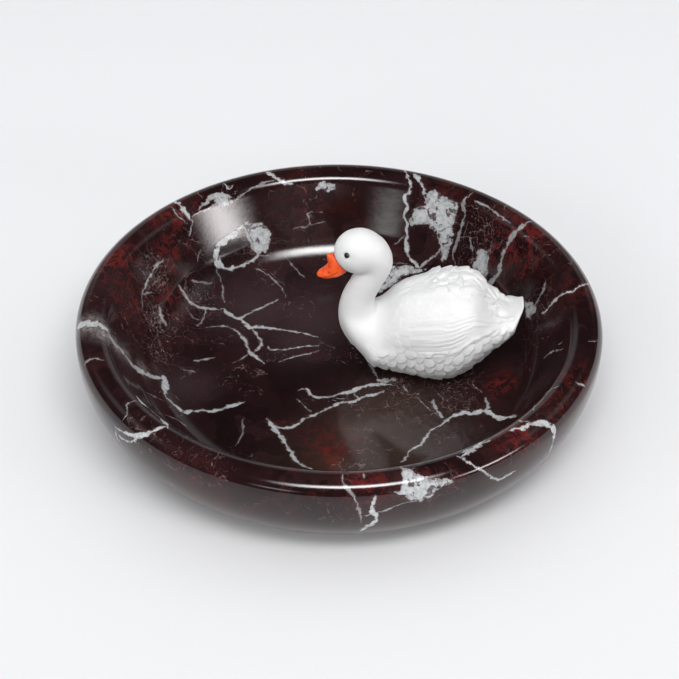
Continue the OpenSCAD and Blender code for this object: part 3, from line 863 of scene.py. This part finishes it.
def skin_copy(node, name, voxel, smooth_steps):
    source = frame["nodes"][node]
    copy = bpy.data.objects.new(name, source.data.copy())
    bpy.context.scene.collection.objects.link(copy)
    copy.matrix_world = source.matrix_world.copy()
    work_on(copy)
    bpy.ops.object.transform_apply(location=True, rotation=True, scale=True)
    copy.data.materials.clear()
    edit(copy)
    bpy.ops.mesh.remove_doubles(threshold=0.005 * MM)
    close_edit()
    remesh = copy.modifiers.new("even_skin", "REMESH")
    remesh.mode = "VOXEL"
    remesh.voxel_size = voxel * MM
    remesh.use_smooth_shade = True
    bpy.ops.object.modifier_apply(modifier=remesh.name)
    # a remesh can leave a crumb in a thin gap, so only the shell with the lowest point stays
    heights = positions(copy.data)[:, 2]
    choose(copy, heights == heights.min())
    bpy.ops.mesh.select_linked()
    bpy.ops.mesh.select_all(action="INVERT")
    bpy.ops.mesh.delete(type="VERT")
    close_edit()
    edit(copy)
    bpy.ops.mesh.vertices_smooth(factor=0.5, repeat=smooth_steps)
    close_edit()
    say(name, "has", len(copy.data.vertices), "vertices after", len(heights))
    return copy


swan = skin_copy("swan", "swan_figure", 0.24, 9)
swan_at = np.array([22.3, 5.0, floor_z])


def smooth_part(obj, chosen, steps):
    """Soften only the chosen points."""
    choose(obj, chosen)
    bpy.ops.mesh.vertices_smooth(factor=0.5, repeat=steps)
    close_edit()


spots = positions(swan.data) / MM - swan_at
neck_and_head = (spots[:, 2] > 24) & (spots[:, 0] < -6)
smooth_part(swan, neck_and_head, 24)
smooth_part(swan, ~neck_and_head, 6)
neck_root = (spots[:, 0] < -4) & (spots[:, 2] > 9) & (spots[:, 2] < 27)
smooth_part(swan, neck_root, 120)            # and the neck into the breast
wing_edge = ~neck_and_head & (spots[:, 0] > -13) & (spots[:, 0] < 16) & (spots[:, 2] > 3)
smooth_part(swan, wing_edge, 140)            # the wings melt into the flank and the back, without a step

# %% Where each point of the skin lies on the bird, as shares of its body
body_l, body_w, body_h = 45.0, 24.2, 25.8     # without the wings, and before the belly is cut flat
belly_cut = 0.6
sections = np.array([  # share of the length, low and top as shares of the height, width share
    [0, .67, .72, .045], [.04, .465, .80, .42], [.12, .28, .76, .64], [.21, .14, .74, .74], [.35, .05, .93, .79],
    [.5, .01, .995, .935], [.61, .03, 1, 1], [.72, .155, .99, .945], [.80, .31, .82, .775], [.88, .445, .72, .59],
    [.95, .60, .735, .50], [1, .78, .84, .205]])
skin = positions(swan.data) / MM
facing = normals(swan.data)
local = skin - swan_at
share = (local[:, 0] / body_l + 0.5).clip(0, 1)
low = np.interp(share, sections[:, 0], sections[:, 1]) * body_h - belly_cut
top = np.interp(share, sections[:, 0], sections[:, 2]) * body_h - belly_cut
wide = np.interp(share, sections[:, 0], sections[:, 3]) * body_w / 2
middle_z, half_z = (low + top) / 2, np.maximum((top - low) / 2, 1.0)
height = np.degrees(np.arctan2((local[:, 2] - middle_z) / half_z, np.abs(local[:, 1]) / np.maximum(wide, 1.0)))
say("length shares", share.min().round(2), share.max().round(2))

# %% Feathers


def ease(value, low_edge, high_edge):
    t = ((value - low_edge) / (high_edge - low_edge)).clip(0, 1)
    return t * t * (3 - 2 * t)


def feather_bed(along, across, length, width, cover=1.9, squareness=2.2):
    """Height 0 to 1 of overlapping feathers; along grows towards the tips, sizes as the inputs' units."""
    best = np.zeros(len(along))
    row0 = np.floor(along / length)
    for back in range(-1, 3):
        row = row0 + back
        tip = (row + 1) * length
        stagger = 0.5 * (row % 2)
        column0 = np.floor(across / width - stagger)
        for beside in (-1, 0, 1):
            centre = (column0 + beside + 0.5 + stagger) * width
            wobble = 0.30 * np.sin(row * 12.9 + (column0 + beside) * 78.2)
            t = (along - tip - wobble * length) / (cover * length) + 1
            off = np.abs(across - centre) / (0.60 * width)
            round_end = (1 - (((t - 0.62) / 0.38).clip(0, 1)) ** squareness).clip(0, 1) ** (1 / squareness)
            inside = ease(round_end - off, 0.0, 0.16) * (t > 0) * (t < 1)
            rise = (0.25 + 0.75 * t.clip(0, 1)) * (1 - 0.40 * off.clip(0, 1) ** 2) - 0.06 * (off < 0.10) * (t > 0.2)
            best = np.maximum(best, inside * rise)
    return best


wing_share = ((share - 0.215) / 0.71).clip(0, 1)
wing_low = 2 + 50 * wing_share ** 3
wing_top = 85 - 24 * wing_share ** 6
arc = np.radians(height) * 0.5 * (half_z + wide)         # mm round the body from its side
low_arc = np.radians(wing_low) * 0.5 * (half_z + wide)
run_back = share * body_l
rise = (height - wing_low) / (wing_top - wing_low)       # 0 at the lower edge of the wing, 1 at the upper
below_wing = low_arc - arc                               # mm down the flank from the wing

# no two feathers on a hand-carved bird are alike, so the rows are bent a little
bend = 0.55 * np.sin(0.62 * arc + 0.31 * run_back) + 0.35 * np.sin(0.47 * run_back - 0.9 * arc + 1.0)
curl_bend = 0.22 * np.sin(0.80 * run_back + 1.1 * below_wing) + 0.10 * np.sin(1.9 * run_back - 0.7 * below_wing)

# long flight feathers sweep along the lower edge of the wing up to the tail
flight = feather_bed(run_back * 0.42 - 9 * rise, rise * 28, 6.0, 1.7, cover=2.4)
on_flight = (ease(share, 0.34, 0.48) * ease(rise, -0.16, -0.02) * ease(-rise, -0.62, -0.40)
             * ease(-share, -0.985, -0.94))

# small coverts on the shoulder and the upper wing
covert = feather_bed(run_back - 0.25 * arc + bend, arc + 0.30 * run_back + bend, 2.8, 2.6)
on_covert = (ease(share, 0.22, 0.34) * ease(rise, 0.0, 0.12) * (1 - on_flight) * ease(-share, -0.98, -0.93))

# ragged tufts over the back, strongest on the far side where they stand against the dark wall
tuft = feather_bed(run_back + 0.35 * arc + bend, arc + 2.0 + bend, 3.4, 2.7, cover=1.25)
far_side = ease(local[:, 1], -1.0, 3.0)
on_tuft = (ease(height, 66, 80) + far_side * ease(height, 22, 40)).clip(0, 1) * ease(share, 0.46, 0.54) * ease(-share, -0.93, -0.86)

# deep curls along the flank under the wing, from the breast to the tail
curl = feather_bed(run_back * 0.60 + 0.80 * below_wing + curl_bend, run_back * 0.80 - 0.50 * below_wing + 0.8 * curl_bend,
                   2.4, 2.5, cover=1.6)
on_flank = (ease(height, -70, -50) * ease(below_wing, -1.6, 0.8) * ease(share, 0.09, 0.2)
            * ease(-share, -0.975, -0.92) * (0.70 + 0.30 * ease(below_wing, 1.0, 5.0)))

clear_of_neck = 1 - ease(local[:, 2], 18.0, 21.0) * ease(-share, -0.30, -0.22)
lift = 0.40 * flight * on_flight + (0.24 + 0.16 * share) * covert * on_covert + 1.25 * tuft * on_tuft + 0.85 * curl * on_flank
lift *= ease(local[:, 2], 0.5, 1.6) * clear_of_neck * ease(share, 0.08, 0.2)
skin += facing * lift[:, None]
foot = skin[:, 2] < floor_z + 0.30
skin[foot, 2] = floor_z
set_positions(swan.data, skin * MM)
say("feathers rise up to", round(float(lift.max()), 2), "mm")

# %% [markdown]
# Cast stone powder is matt and slightly uneven. The colour is barely off white, in soft
# blotches with a fine darker grain, and the skin has a faint grain.

# %% Swan's white
plaster, n, shader, mm = new_material("matt_white")
grain = n.noise(mm, 5.0, 4.0, 0.6).outputs["Fac"]
blotch = n.noise(mm, 0.25, 3.0).outputs["Fac"]
white = n.mix(n.step(blotch, 0.3, 0.7), (0.755, 0.753, 0.750, 1), (0.785, 0.785, 0.787, 1))
white = n.mix(n.math("MULTIPLY", n.step(grain, 0.30, 0.8), 0.12), white, (0.69, 0.685, 0.68, 1))
plaster.node_tree.links.new(white, shader.inputs["Base Color"])
plaster.node_tree.links.new(n.math("MULTIPLY_ADD", grain, 0.16, 0.52), shader.inputs["Roughness"])
shader.inputs["Specular IOR Level"].default_value = 0.4
grainy = n.add("Bump", {"Height": grain, "Strength": 0.25, "Distance": 0.00006})
plaster.node_tree.links.new(grainy.outputs["Normal"], shader.inputs["Normal"])
swan.data.materials.append(plaster)
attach(swan, "swan")
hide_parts("swan")

# %% [markdown]
# The bill is the one bright colour. It is glossy, a little deeper at its root, with a low knob on top,
# two nostrils and the line of the mouth, whose colour gets painted shade.

# %% Bill
bill = skin_copy("bill", "bill_glossy", 0.11, 6)
slope = math.radians(36)
bill_way = np.array([-math.cos(slope), 0, -math.sin(slope)])
bill_up = np.array([-math.sin(slope), 0, math.cos(slope)])
seat = swan_at + np.array([-17.5, 0, 35.4]) + 5.64 * bill_way
skin = positions(bill.data) / MM
facing = normals(bill.data)
out_along = (skin - seat) @ bill_way
upward = (skin - seat) @ bill_up
mouth_at = -1.15 + 0.12 * out_along
mouth = np.exp(-((upward - mouth_at) / 0.17) ** 2) * ease(out_along, 1.0, 1.8)
nostril = np.exp(-((out_along - 3.5) / 0.42) ** 2 - ((upward - 0.10) / 0.24) ** 2)
skin -= facing * (0.16 * mouth + 0.22 * nostril)[:, None]
set_positions(bill.data, skin * MM)
# the depth of the mouth line and nostrils is stored as "cut", and painted shade is laid into the colour there
cut = bill.data.attributes.new("cut", "FLOAT", "POINT")
cut.data.foreach_set("value", np.maximum(0.75 * mouth, nostril))
say("mouth line and nostrils are cut up to", round(float((0.16 * mouth + 0.22 * nostril).max()), 2), "mm deep")

orange, n, shader, mm = new_material("glossy_orange")
shade = n.noise(mm, 0.6, 4.0).outputs["Fac"]
colour = n.mix(n.step(shade, 0.35, 0.7), (0.86, 0.085, 0.014, 1), (0.95, 0.130, 0.026, 1))
# painted shade: the colour darkens in the mouth line and the nostrils
colour = n.mix(n.math("MULTIPLY", stored("cut"), 0.75), colour, (0.22, 0.020, 0.006, 1))
orange.node_tree.links.new(colour, shader.inputs["Base Color"])
orange.node_tree.links.new(n.math("MULTIPLY_ADD", shade, 0.12, 0.22), shader.inputs["Roughness"])
bill.data.materials.append(orange)
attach(bill, "swan")
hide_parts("bill")

# %% [markdown]
# The eyes are tiny black beads. Their solids already have the right dome, so they stay, and
# only get a better material in their slots.

# %% Eyes
black, n, shader, mm = new_material("black_bead")
tone = n.noise(mm, 3.0, 2.0).outputs["Fac"]
black.node_tree.links.new(n.mix(tone, (0.004, 0.004, 0.005, 1), (0.012, 0.011, 0.011, 1)), shader.inputs["Base Color"])
black.node_tree.links.new(n.math("MULTIPLY_ADD", tone, 0.06, 0.05), shader.inputs["Roughness"])
for side in ("left_eye", "right_eye"):
    eye = frame["nodes"][side]
    for slot in eye.material_slots:
        slot.material = black
    if not eye.material_slots:
        eye.data.materials.append(black)

# %% [markdown]
# Colours are shown plainly, without a film look, and the visible model's size is written
# beside the solids' size so that the two can be compared.

# %% Finish
bpy.context.scene.view_settings.view_transform = "Standard"
visual_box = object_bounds()
say("visual box", [round(v / MM, 1) for corner in visual_box for v in corner], "mm")
